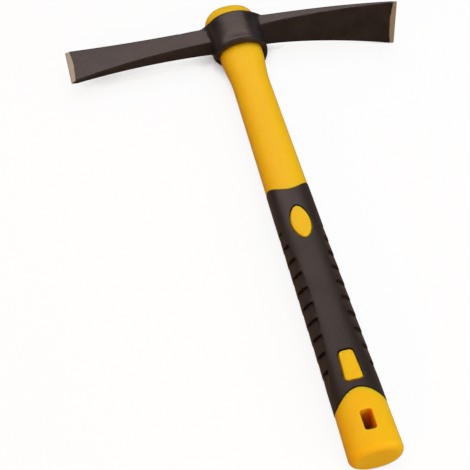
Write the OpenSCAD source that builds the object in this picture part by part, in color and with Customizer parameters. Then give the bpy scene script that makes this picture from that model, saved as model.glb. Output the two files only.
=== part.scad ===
// Short mattock: a forged head with a cutter blade and an adze blade, on a
// fibreglass handle with a moulded jacket and a soft grip.
// X runs along the head (cutter at -X, adze at +X), Y along the handle from the butt
// end face (Y = 0) to the cap, and Z is square to the broad face of the handle.

/* [Overall] */
// Length from the butt end face to the top of the cap
overall_length = 380; // [330:1:460]
// Clearance between pieces moulded or bonded to each other
fit_gap = 0.05; // [0.02:0.01:0.2]

/* [Handle] */
// Width at the butt end
butt_w = 34; // [28:0.2:44]
// Width where the butt's flare ends
grip_w = 32.2; // [27:0.2:40]
// Width at the narrowest part of the neck
neck_w = 27.1; // [24:0.1:34]
// Width where the handle enters the eye
mouth_w = 31.6; // [28:0.2:40]
// Thickness of the handle's oval as a share of its width
oval_ratio = 0.815; // [0.72:0.005:0.97]
// Length of the butt's flare
butt_flare_l = 45; // [25:1:70]
// Length of the flare below the eye
neck_flare_l = 33; // [15:1:50]
// Rounding of the butt's rim
butt_round = 4.5; // [2:0.5:7]

/* [Fibreglass core] */
// Diameter of the rod
core_d = 16; // [12:0.5:17]
// Solid plastic between the hang slot and the rod
core_end_wall = 7; // [4:0.5:15]
// How far the rod stands up into the cap
core_in_cap = 6; // [3:0.5:9]

/* [Hang slot] */
// Width of the slot
slot_w = 7.4; // [5:0.2:12]
// Length of the slot along the handle
slot_l = 13.6; // [8:0.2:16]
// Plastic between the butt's end face and the slot
slot_wall = 13.7; // [8:0.1:17]
// Radius of the slot's corners
slot_round = 1.9; // [0.5:0.1:2.4]

/* [Grip] */
// Distance from the butt to the grip's lower edge, at the sides
grip_start = 34; // [24:0.1:60]
// Distance from the butt to the grip's upper edge, at the sides
grip_end = 204.5; // [170:0.5:260]
// Rise of the lower edge at the middle of the broad faces
grip_arch = 8.1; // [0:0.1:14]
// Dip of the upper edge at the middle of the broad faces
grip_dip = 6.7; // [0:0.1:12]
// Angle round the handle, from the middle of a broad face, over which both edges curve
edge_reach = 76; // [50:1:90]
// Thickness of the rubber
grip_t = 2; // [1.8:0.1:2.4]
// How far the rubber stands proud of the jacket
grip_proud = 0.25; // [0:0.05:0.8]

/* [Finger steps] */
// Number of steps on each side
step_count = 10; // [4:1:13]
// Distance from the grip's lower edge, at its arch, to the lowest step
step_low_margin = 6.3; // [4:0.1:20]
// Distance from the grip's upper edge, at the sides, to the highest step
step_high_margin = 35.6; // [20:0.1:50]
// Depth of a step where it is deepest
step_depth = 1.5; // [0.4:0.1:1.5]
// Angle, each way from the side, that the longest steps reach
step_reach = 60; // [30:1:65]

/* [Islands] */
// Distance from the grip's upper edge, at the sides, to the middle of the oval island
oval_drop = 35; // [26:0.1:50]
// Length of the oval island
oval_l = 25.8; // [14:0.2:32]
// Width of the oval island
oval_w = 12.6; // [8:0.2:15]
// Distance from the grip's lower edge, at its arch, to the tapered island
taper_rise = 5.8; // [4:0.1:16]
// Length of the tapered island
taper_l = 20.4; // [12:0.2:30]
// Width of the tapered island at its lower edge
taper_w_low = 11.2; // [7:0.2:14]
// Width of the tapered island at its upper edge
taper_w_high = 8.8; // [6:0.2:14]
// How far the islands stand proud of the rubber
island_proud = 0.3; // [0:0.1:0.8]
// Groove between an island and the rubber
island_gap = 0.7; // [0.2:0.1:0.8]

/* [Collar] */
// Height of the collar along the handle
collar_h = 29.6; // [24:0.2:40]
// Steel beside the eye, low on the collar
side_wall_low = 3.3; // [2:0.1:6]
// Steel beside the eye, at the collar's upper rim
side_wall_high = 4.5; // [3.6:0.1:7]
// Steel in front of and behind the eye, low on the collar
face_wall_low = 4.8; // [3:0.1:7]
// Steel in front of and behind the eye, at the collar's upper rim
face_wall_high = 5.2; // [3.6:0.1:8]
// Rounding of the collar's upper rim
collar_round = 1.6; // [0.6:0.1:2]
// Height over which the collar rounds in to its lower lip
lip_h = 1.2; // [0.6:0.1:3]
// How far the lower lip rounds in
lip_in = 0.4; // [0.2:0.1:1]
// How far the rolled bead above the lip stands out on the collar's faces
bead_proud = 0.6; // [0:0.1:1]
// Depth of the groove above the bead
groove_depth = 0.9; // [0:0.1:1.2]
// Thickness of the resin between the tenon and the eye
bond_t = 0.8; // [0.5:0.1:1.2]
// Draft of the eye over its height, on the width
eye_draft = 1; // [0.2:0.1:2]
// Flare of the eye's mouth, each way
mouth_flare = 0.3; // [0.2:0.1:0.8]
// Depth of the eye's mouth, below the resin
mouth_depth = 3; // [1.5:0.5:5]

/* [Cutter blade] */
// Reach of the cutter from the middle of the eye
cutter_reach = 126; // [90:1:160]
// Length of the cutter's edge
cutter_edge = 31.8; // [20:0.2:45]
// Height of the cutter's arm at the collar
cutter_root_h = 15.4; // [9:0.2:16]
// Thickness of the cutter's arm at the collar
cutter_root_t = 13.2; // [8:0.2:18]
// Thickness where the ground bevel starts
cutter_bevel_t = 3.8; // [2:0.2:6]
// How far the cutter's edge lies above the middle of the arms
cutter_lift = 1.3; // [-5:0.1:5]
// How far the cutter's root lies below the middle of the arms
cutter_sink = 0.7; // [0:0.1:3]
// How far the cutter's middle line bows up between its root and its edge
cutter_bow = 0.8; // [0:0.1:3]

/* [Adze blade] */
// Reach of the adze from the middle of the eye
adze_reach = 118.6; // [90:0.2:160]
// Length of the adze's edge
adze_edge = 42.2; // [28:0.2:60]
// Width of the adze's arm at the collar
adze_root_w = 21.2; // [14:0.2:28]
// Thickness of the adze's arm at the collar
adze_root_t = 9.4; // [6:0.2:14]
// Thickness where the ground bevel starts
adze_bevel_t = 2.6; // [1.6:0.2:5]
// How far the adze's edge droops towards the butt
adze_droop = 19.5; // [0:0.1:30]

/* [Edges] */
// Length of the ground bevel behind each edge
bevel_l = 4; // [2:0.2:8]
// Flat left along each ground edge
edge_flat = 0.7; // [0.2:0.1:1]
// Distance from the collar's upper rim to the middle of the arms
arm_drop = 8.1; // [8:0.1:16]
// Rounding of the arms' long edges
arm_round = 0.8; // [0.4:0.1:2]
// Size of the blend from the arms into the collar
root_blend = 5; // [2:0.2:8]

/* [Cap] */
// Height of the cap above the collar
cap_h = 14.8; // [12:0.2:22]
// How far the cap overlaps the collar round the eye
cap_overlap = 3.1; // [1.6:0.1:3.2]
// How far the cap sits off the middle of the eye, towards the cutter
cap_shift = 0.6; // [0:0.1:1]
// Rounding of the cap's top
cap_round = 12.5; // [4:0.5:13]
// Rounding of the cap's foot
cap_foot_round = 1.2; // [0.4:0.1:1.3]
// How far the cap's spigot enters the eye
spigot_l = 4; // [2:0.5:8]

/* [Hidden] */
$fn = 48;

// Places along the handle
collar_high_y = overall_length - cap_h;
collar_low_y = collar_high_y - collar_h;
neck_y = collar_low_y - neck_flare_l;
tenon_end_y = collar_high_y - spigot_l;
slot_mid_y = slot_wall + slot_l / 2;
core_start_y = slot_wall + slot_l + core_end_wall;
core_end_y = collar_high_y + core_in_cap;
bond_start_y = collar_low_y + mouth_depth;
arm_y = collar_high_y - arm_drop;

// Places on the grip
grip_arch_y = grip_start + grip_arch;
step_low_y = grip_arch_y + step_low_margin;
step_high_y = grip_end - step_high_margin;
step_mid_y = (step_low_y + step_high_y) / 2;
step_pitch = (step_high_y - step_low_y) / step_count;
oval_y = grip_end - oval_drop;
taper_y = grip_arch_y + taper_rise;

// The grip's curved edges: their clearance, and the room the seat and the shaft leave for them
edge_gap = 3 * fit_gap;
edge_margin = 3;
seat_low_y = grip_arch_y + edge_margin;
seat_high_y = grip_end - grip_dip - edge_margin;
shaft_low_y = grip_end + edge_margin;

// Shape of the curves
section_power = 2.2;
butt_flare_power = 1.3;
mouth_flare_power = 1.25;
cutter_power = 2;
adze_power = 1.3;
adze_straight = 0.45;
corner_share = 0.8;
blend_span = 1.8;
island_round = 2.2;

// Shape of the grip's steps and of its soft edges
step_rise = 0.8;
step_fade = 12;
step_mid_share = 0.4;
ridge_half = 5;
ridge_fade = 20;
ridge_share = 0.15;
edge_soft = 0.5;
edge_share = 0.06;

// Shape of the collar's bead and groove: heights above the lip, and reach round the faces
bead_rise = 2;
bead_h = 1.3;
groove_rise = 5.2;
groove_h = 2.2;
bead_reach = 0.65;
bead_fade = 0.3;

// Resolution of the lofted forms
oval_sides = 48;
arm_arc = 4;
arm_steps = 12;
bead_rings = 8;
rim_rings = 4;
flare_rings = 8;
below_grip_rings = 3;
cut_margin = 2;

// Depth at which the islands and their windows start, inside the jacket
island_root_z = core_d / 4;
arm_start_x = core_d / 3;

yellow = "#F0B41E";
black = "#2D2624";

function lerp(a, b, t) = a + (b - a) * t;
function clamp01(t) = max(0, min(1, t));
function smooth(t) = let (c = clamp01(t)) c * c * (3 - 2 * c);
function signed_pow(v, e) = sign(v) * pow(abs(v), e);

// Width of the handle, over the jacket
function handle_w(y) =
    y < butt_flare_l
    ? grip_w + (butt_w - grip_w) * pow((butt_flare_l - y) / butt_flare_l, butt_flare_power)
    : y < neck_y
    ? lerp(grip_w, neck_w, (y - butt_flare_l) / (neck_y - butt_flare_l))
    : y < collar_low_y
    ? lerp(neck_w, mouth_w, pow(smooth((y - neck_y) / neck_flare_l), mouth_flare_power))
    : mouth_w - eye_draft * (y - collar_low_y) / collar_h;

// Angle of a section's point, measured from the broad face (+Z) towards +X
function turn(i) = 360 * i / oval_sides;
function from_face(a) = abs(a > 180 ? a - 360 : a);
function from_side(a) = abs(90 - from_face(a));

// One point of an oval section
function oval_point(a, y, w, t) = [
    w / 2 * signed_pow(sin(a), 2 / section_power),
    y,
    t / 2 * signed_pow(cos(a), 2 / section_power)
];

// A point, and a ring of points, of the handle's surface moved in by inset
function handle_point(a, y, inset) =
    oval_point(a, y, handle_w(y) - 2 * inset, handle_w(y) * oval_ratio - 2 * inset);
function handle_ring(y, inset) = [for (i = [0:oval_sides - 1]) handle_point(turn(i), y, inset)];

// The grip's curved edges: highest and lowest at the middle of the broad faces
function edge_turn(a) = smooth((90 - from_side(a)) / edge_reach);
function grip_low_y(a) = grip_arch_y - grip_arch * edge_turn(a);
function grip_high_y(a) = grip_end - grip_dip * (1 - edge_turn(a));

// A ring of the handle, part of the way from one of the grip's edges to a level
function low_ring(y, share, gap, inset) = [
    for (i = [0:oval_sides - 1])
    handle_point(turn(i), lerp(grip_low_y(turn(i)) + gap, y, share), inset)
];
function high_ring(y, share, gap, inset) = [
    for (i = [0:oval_sides - 1])
    handle_point(turn(i), lerp(grip_high_y(turn(i)) - gap, y, share), inset)
];

// Inset of a rounded rim at a distance from its end face, and the distances to draw
function rim_inset(d, r) = let (e = max(0, r - d)) r - sqrt(max(0, r * r - e * e));
function rim_depths(r) = [for (k = [0:rim_rings]) r * (1 - cos(90 * k / rim_rings))];
function reversed(list) = [for (k = [len(list) - 1:-1:0]) list[k]];

// The faces between neighbouring rings of points
function strip(k, l, n) = [
    for (i = [0:n - 1]) let (j = (i + 1) % n)
    each [[k * n + i, l * n + j, k * n + j], [k * n + i, l * n + i, l * n + j]]
];

// A solid through a list of rings, closed by its first and last ring
module skin(rings) {
    n = len(rings[0]);
    m = len(rings);
    first = [for (i = [0:n - 1]) i];
    last = [for (i = [n - 1:-1:0]) (m - 1) * n + i];
    sides = [for (k = [0:m - 2]) each strip(k, k + 1, n)];
    polyhedron([for (r = rings) each r], concat(sides, [first, last]));
}

// A tube through a list of rings that leads back to its first ring
module closed_tube(rings) {
    n = len(rings[0]);
    m = len(rings);
    polyhedron([for (r = rings) each r], [for (k = [0:m - 1]) each strip(k, (k + 1) % m, n)]);
}

// A round bar along the handle
module bar(d, from_y, to_y) {
    translate([0, from_y, 0])
        rotate([-90, 0, 0])
        cylinder(d = d, h = to_y - from_y);
}

// Outlines of the islands, drawn on the broad face and grown by a margin
module oval_outline(margin) {
    translate([0, oval_y])
        scale([(oval_w + 2 * margin) / (oval_l + 2 * margin), 1])
        circle(d = oval_l + 2 * margin);
}
module taper_outline(margin) {
    r = island_round;
    hull()
        for (side = [-1, 1]) {
            translate([side * (taper_w_low / 2 - r), taper_y + r]) circle(r + margin);
            translate([side * (taper_w_high / 2 - r), taper_y + taper_l - r]) circle(r + margin);
        }
}

// The islands' outlines as prisms on both broad faces
module island_prisms(margin) {
    for (side = [0, 1])
        mirror([0, 0, side])
        translate([0, 0, island_root_z])
        linear_extrude(butt_w) {
            oval_outline(margin);
            taper_outline(margin);
        }
}

// The eye, grown by an amount
function eye_ring(y, grow) = handle_ring(y, -bond_t - fit_gap - grow);

// The collar's steel round the eye, rounded at its upper rim and its lower lip
function collar_half_w(y) =
    handle_w(y) / 2 + bond_t + fit_gap + lerp(side_wall_low, side_wall_high, (y - collar_low_y) / collar_h);
function collar_half_t(y) =
    handle_w(y) / 2 * oval_ratio + bond_t + fit_gap
    + lerp(face_wall_low, face_wall_high, (y - collar_low_y) / collar_h);

// A hump of the collar's wall at a height, and the bead and groove that fade out round its faces
function hump(y, rise, h) = exp(-pow((y - collar_low_y - rise) / h, 2));
function bead(y) = bead_proud * hump(y, bead_rise, bead_h) - groove_depth * hump(y, groove_rise, groove_h);
function bead_mask(a) = smooth((bead_reach - pow(abs(sin(a)), 2 / section_power)) / bead_fade);
function collar_ring(y) =
    let (top = rim_inset(collar_high_y - y, collar_round))
    let (lip = rim_inset(y - collar_low_y, lip_h) * lip_in / lip_h)
    let (half_w = collar_half_w(y) - top - lip)
    let (half_t = collar_half_t(y) - top - lip)
    [
        for (i = [0:oval_sides - 1])
        oval_point(turn(i), y, 2 * half_w, 2 * (half_t + bead(y) * bead_mask(turn(i))))
    ];
bead_top = groove_rise + 2 * groove_h;
collar_ys = concat(
    [for (d = rim_depths(lip_h)) collar_low_y + d],
    [for (k = [1:bead_rings]) collar_low_y + lerp(lip_h, bead_top, k / bead_rings)],
    [for (d = reversed(rim_depths(collar_round))) collar_high_y - d]
);

// The collar's half sizes at the height of the arms
root_half_w = collar_half_w(arm_y);
root_half_t = collar_half_t(arm_y);

// Half thickness of the collar at one X, and an arm's half width blended into it
function collar_half(x) =
    root_half_t * sqrt(max(0, 1 - pow(x / root_half_w, 2))) - max(0, abs(x) - root_half_w);
function blended(half, x) =
    let (c = collar_half(x) - root_blend / 2)
    (half + c + sqrt(pow(half - c, 2) + pow(root_blend, 2))) / 2;

// A section across an arm: a rectangle with rounded corners at one X
function arm_section(x, mid_y, half_y, half_z) =
    let (r = min(arm_round, corner_share * half_y, corner_share * half_z))
    [
        for (q = [0:3], k = [0:arm_arc])
        let (a = 90 * q + 90 * k / arm_arc)
        let (sy = q == 0 || q == 3 ? 1 : -1)
        let (sz = q < 2 ? 1 : -1)
        [x, mid_y + sy * (half_y - r) + r * cos(a), sz * (half_z - r) + r * sin(a)]
    ];

// Sizes along the arms, from the collar (share 0) to the edge (share 1)
cutter_bevel_x = cutter_reach - bevel_l;
adze_bevel_x = adze_reach - bevel_l;
function arm_share(x, reach) = clamp01((x - root_half_w) / (reach - root_half_w));
function bevel_half_t(x, bevel_x, bevel_t) = lerp(bevel_t, edge_flat, (x - bevel_x) / bevel_l) / 2;
function cutter_half_h(x) =
    lerp(cutter_root_h, cutter_edge, pow(arm_share(x, cutter_reach), cutter_power)) / 2;
function cutter_half_t(x) =
    x > cutter_bevel_x
    ? bevel_half_t(x, cutter_bevel_x, cutter_bevel_t)
    : blended(lerp(cutter_root_t, cutter_bevel_t, arm_share(x, cutter_bevel_x)) / 2, x);
function adze_half_w(x) =
    blended(lerp(adze_root_w, adze_edge, pow(arm_share(x, adze_reach), adze_power)) / 2, x);
function adze_half_t(x) =
    x > adze_bevel_x
    ? bevel_half_t(x, adze_bevel_x, adze_bevel_t)
    : lerp(adze_root_t, adze_bevel_t, arm_share(x, adze_bevel_x)) / 2;

// The arms' middle lines: the cutter bows up a little, the adze leaves the collar gently and then droops
function cutter_mid_y(x) =
    let (s = arm_share(x, cutter_reach))
    arm_y + lerp(-cutter_sink, cutter_lift, s) + cutter_bow * 4 * s * (1 - s);
function adze_mid_y(x) =
    let (s = arm_share(x, adze_reach))
    arm_y - adze_droop * lerp(s * s, s, adze_straight);

// Stations along an arm: close together at the blend, then even, then the bevel
function arm_stations(reach, bevel_x) = concat(
    [for (k = [0:arm_steps - 1]) lerp(arm_start_x, blend_span * root_half_w, k / arm_steps)],
    [for (k = [0:arm_steps]) lerp(blend_span * root_half_w, bevel_x, k / arm_steps)],
    [reach]
);

module cutter_arm() {
    skin([for (x = reversed(arm_stations(cutter_reach, cutter_bevel_x)))
        arm_section(-x, cutter_mid_y(x), cutter_half_h(x), cutter_half_t(x))]);
}

module adze_arm() {
    skin([for (x = arm_stations(adze_reach, adze_bevel_x))
        arm_section(x, adze_mid_y(x), adze_half_t(x), adze_half_w(x))]);
}

module head() {
    color("#3A3230")
        difference() {
            union() {
                skin([for (y = collar_ys) collar_ring(y)]);
                cutter_arm();
                adze_arm();
            }
            skin([
                eye_ring(collar_low_y - cut_margin, mouth_flare),
                eye_ring(collar_low_y, mouth_flare),
                eye_ring(bond_start_y, 0),
                eye_ring(collar_high_y + cut_margin, 0)
            ]);
        }
}

module fibreglass_core() {
    color("#D8CFB0")
        bar(core_d, core_start_y, core_end_y);
}

// The moulded jacket, from the butt to the end of the tenon, with a seat for the grip
module handle_body() {
    skin(concat(
        [for (d = rim_depths(butt_round)) handle_ring(d, rim_inset(d, butt_round))],
        [for (k = [below_grip_rings - 1:-1:0]) low_ring(butt_round, k / below_grip_rings, 0, 0)],
        [for (share = [0, 0.5, 1]) low_ring(seat_low_y, share, 0, grip_t)],
        [for (share = [1, 0.5, 0]) high_ring(seat_high_y, share, 0, grip_t)],
        [for (share = [0, 0.5, 1]) high_ring(shaft_low_y, share, 0, 0)],
        [for (k = [0:flare_rings]) handle_ring(neck_y + neck_flare_l * k / flare_rings, 0)],
        [handle_ring(tenon_end_y, 0)]
    ));
}

// The raised islands that fill the grip's windows
module islands() {
    rise = grip_proud + island_proud;
    intersection() {
        skin([handle_ring(seat_low_y, -rise), handle_ring(seat_high_y, -rise)]);
        island_prisms(0);
    }
}

module hang_slot() {
    flat_w = slot_w - 2 * slot_round;
    flat_l = slot_l - 2 * slot_round;
    translate([0, slot_mid_y, -butt_w])
        linear_extrude(2 * butt_w) {
            square([flat_w, slot_l], center = true);
            square([slot_w, flat_l], center = true);
            for (sx = [-1, 1], sy = [-1, 1])
                translate([sx * flat_w / 2, sy * flat_l / 2]) circle(slot_round);
        }
}

module handle_jacket() {
    color(yellow)
        difference() {
            union() {
                handle_body();
                islands();
            }
            hang_slot();
            bar(core_d + 2 * fit_gap, core_start_y - fit_gap, tenon_end_y + cut_margin);
        }
}

// Reach of a step round the handle, longest at the middle of the row, and its faded depth, with a
// ridge left along the side of the handle
function step_angle(y) =
    let (half_field = (step_high_y - step_low_y + step_pitch) / 2)
    step_reach * sqrt(max(0, 1 - pow((y - step_mid_y) / half_field, 2)));
function step_ridge(a) = lerp(ridge_share, 1, smooth((from_side(a) - ridge_half) / ridge_fade));
function step_mask(a, y) = step_ridge(a) * smooth((step_angle(y) - from_side(a)) / step_fade);
function step_ring(y, share) = [
    for (i = [0:oval_sides - 1])
    handle_point(turn(i), y, step_depth * share * step_mask(turn(i), y) - grip_proud)
];

// Each step falls steeply on its butt side, then rises gently to the next one
step_rings = [
    for (i = [0:step_count - 1]) let (y = step_low_y + (i + 1) * step_pitch)
    each [step_ring(y - step_pitch / 2, step_mid_share), step_ring(y - step_rise, 1), step_ring(y, 0)]
];
grip_low_rings = [
    low_ring(step_low_y, 0, edge_gap, edge_soft - grip_proud),
    low_ring(step_low_y, edge_share, edge_gap, -grip_proud),
    low_ring(step_low_y, 0.5, edge_gap, -grip_proud),
    low_ring(step_low_y, 1, edge_gap, -grip_proud)
];
grip_high_rings = [
    high_ring(step_high_y, 0.5, edge_gap, -grip_proud),
    high_ring(step_high_y, edge_share, edge_gap, -grip_proud),
    high_ring(step_high_y, 0, edge_gap, edge_soft - grip_proud)
];
grip_inside_rings = concat(
    [for (share = [0, 0.5, 1]) high_ring(seat_high_y, share, edge_gap, grip_t - fit_gap)],
    [for (share = [1, 0.5, 0]) low_ring(seat_low_y, share, edge_gap, grip_t - fit_gap)]
);

module grip_sleeve() {
    color(black)
        difference() {
            closed_tube(concat(grip_low_rings, step_rings, grip_high_rings, grip_inside_rings));
            island_prisms(island_gap);
        }
}

module bond_sleeve() {
    color("#8A6A3A")
        closed_tube([
            handle_ring(bond_start_y, -bond_t),
            handle_ring(tenon_end_y, -bond_t),
            handle_ring(tenon_end_y, -fit_gap),
            handle_ring(bond_start_y, -fit_gap)
        ]);
}

// The cap's outside: the eye grown by the overlap, rounded at its foot and its top
cap_low_y = collar_high_y + fit_gap;
cap_ds = concat(
    rim_depths(cap_foot_round),
    [for (d = reversed(rim_depths(cap_round))) overall_length - cap_low_y - d]
);
function cap_ring(d) =
    let (from_top = overall_length - cap_low_y - d)
    let (grow = cap_overlap - max(rim_inset(d, cap_foot_round), rim_inset(from_top, cap_round)))
    [for (p = eye_ring(collar_high_y, grow)) [p[0] - cap_shift, cap_low_y + d, p[2]]];

module eye_cap() {
    color(yellow)
        difference() {
            union() {
                skin([for (d = cap_ds) cap_ring(d)]);
                skin([
                    handle_ring(tenon_end_y + fit_gap, -bond_t),
                    handle_ring(collar_high_y + cut_margin, -bond_t)
                ]);
            }
            bar(core_d + 2 * fit_gap, tenon_end_y - cut_margin, core_end_y + fit_gap);
        }
}

head();
fibreglass_core();
handle_jacket();
grip_sleeve();
bond_sleeve();
eye_cap();
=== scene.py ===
"""A short mattock with a forged head on a moulded handle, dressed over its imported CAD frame."""
import logging
import math
from dataclasses import dataclass
from enum import Enum
from typing import Callable, Optional, Union

import bpy
import numpy as np
from mathutils import Matrix, Vector


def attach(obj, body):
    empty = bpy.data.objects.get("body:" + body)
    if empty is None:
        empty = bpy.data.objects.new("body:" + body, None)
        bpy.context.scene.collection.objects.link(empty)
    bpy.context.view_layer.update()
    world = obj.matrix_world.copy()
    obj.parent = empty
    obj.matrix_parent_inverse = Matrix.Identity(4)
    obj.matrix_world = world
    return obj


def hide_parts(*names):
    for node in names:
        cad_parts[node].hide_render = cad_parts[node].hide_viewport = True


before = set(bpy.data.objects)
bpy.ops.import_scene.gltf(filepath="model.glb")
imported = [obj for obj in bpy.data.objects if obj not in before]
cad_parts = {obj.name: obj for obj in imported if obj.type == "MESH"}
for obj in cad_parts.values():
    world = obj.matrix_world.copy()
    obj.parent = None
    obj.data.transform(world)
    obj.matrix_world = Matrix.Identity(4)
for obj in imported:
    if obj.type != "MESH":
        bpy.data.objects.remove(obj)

Array = np.ndarray
Distance = Callable[[Array, Array, Array], Array]
Tree = bpy.types.NodeTree
Socket = bpy.types.NodeSocket
Material = bpy.types.Material
Outputs = bpy.types.bpy_prop_collection
Pair = tuple[float, float]
Triple = tuple[float, float, float]
Setting = Union[float, tuple, Socket]

LOG = logging.getLogger("mattock")
MM = 0.001
TINY = 1e-6


class Slot(Enum):
    """Material slots of the record. This script does not use them."""

    HEAD_PAINT = "head_paint"
    YELLOW_PLASTIC = "yellow_plastic"
    BLACK_RUBBER = "black_rubber"


class LampUse(Enum):
    """What a lamp is set for: light on everything, an even fill without a shine, or the shine alone."""

    ALL = "all"
    FILL = "fill"
    SHINE = "shine"


def linear(hex_colour: str) -> tuple[float, float, float, float]:
    """Turns an sRGB hex colour into Blender's linear colour.

    Args:
        hex_colour: Six hex digits after a number sign.

    Returns:
        Linear red, green and blue, with an alpha of 1.
    """
    shares = [int(hex_colour[k:k + 2], 16) / 255 for k in (1, 3, 5)]
    red, green, blue = [s / 12.92 if s <= 0.04045 else ((s + 0.055) / 1.055) ** 2.4 for s in shares]
    return red, green, blue, 1.0


def per_metre(size_mm: float) -> float:
    """Returns the texture scale at which one feature of a pattern is size_mm across."""
    return 1 / (size_mm * MM)


def span(end: str, limits: Pair, unit: float = 1.0) -> dict[str, float]:
    """Returns the inputs for the From or the To end of a range: its two limits, in a unit."""
    return {f"{end} Min": limits[0] * unit, f"{end} Max": limits[1] * unit}


def add_node(tree: Tree, kind: str, inputs: dict[Union[str, int], Setting], **settings: object) -> Outputs:
    """Adds one node with its settings, values and links.

    Args:
        tree: Node tree that gets the node.
        kind: Blender's name for the node type, without its first word, ShaderNode.
        inputs: A value, or another node's output, for each input by name or number.
        **settings: Properties of the node itself.

    Returns:
        The new node's outputs.
    """
    node = tree.nodes.new("ShaderNode" + kind)
    for name, value in settings.items():
        setattr(node, name, value)
    for name, value in inputs.items():
        if isinstance(value, Socket):
            tree.links.new(value, node.inputs[name])
        else:
            node.inputs[name].default_value = value
    return node.outputs


def smooth(share: Array) -> Array:
    """Returns a share eased in and out between 0 and 1."""
    clipped = np.clip(share, 0, 1)
    return clipped * clipped * (3 - 2 * clipped)


def lerp(start: Setting, end: Setting, share: Array) -> Array:
    """Returns the value part of the way from start to end."""
    return start + (end - start) * share


def round_meet(a: Array, b: Array, radius: Setting) -> Array:
    """Distance to what two solids share, with the edge between them rounded.

    Args:
        a: Signed distances to the first solid, in mm.
        b: Signed distances to the second solid.
        radius: Radius of the rounded edge.

    Returns:
        Signed distances to the shared solid.
    """
    inner = np.minimum(np.maximum(a, b) + radius, 0)
    return inner + np.hypot(np.maximum(a + radius, 0), np.maximum(b + radius, 0)) - radius


def round_join(a: Array, b: Array, radius: Setting) -> Array:
    """Distance to two solids joined with a fillet of that radius, in mm."""
    return -round_meet(-a, -b, radius)


def oval_distance(x: Array, z: Array, half_x: Setting, half_z: Setting, power: float) -> Array:
    """Distance from an oval, measured along the ray from its middle.

    Args:
        x: Places across the oval, in mm.
        z: Places through the oval.
        half_x: Half of its width.
        half_z: Half of its thickness.
        power: Squareness, 2 for an ellipse.

    Returns:
        Signed distances, below 0 inside.
    """
    level = ((np.abs(x) / half_x) ** power + (np.abs(z) / half_z) ** power) ** (1 / power)
    ray = np.hypot(x, z) + TINY
    return np.maximum(ray - ray / (level + TINY), -np.minimum(half_x, half_z))


def bar_distance(u: Array, v: Array, half_u: Array, half_v: Array, radius: Array) -> Array:
    """Distance from a rectangle with rounded corners.

    Args:
        u: Places along its first side, in mm.
        v: Places along its second side.
        half_u: Half of the first side.
        half_v: Half of the second side.
        radius: Radius of the corners.

    Returns:
        Signed distances, below 0 inside.
    """
    return round_meet(np.abs(u) - half_u, np.abs(v) - half_v, radius)


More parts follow.
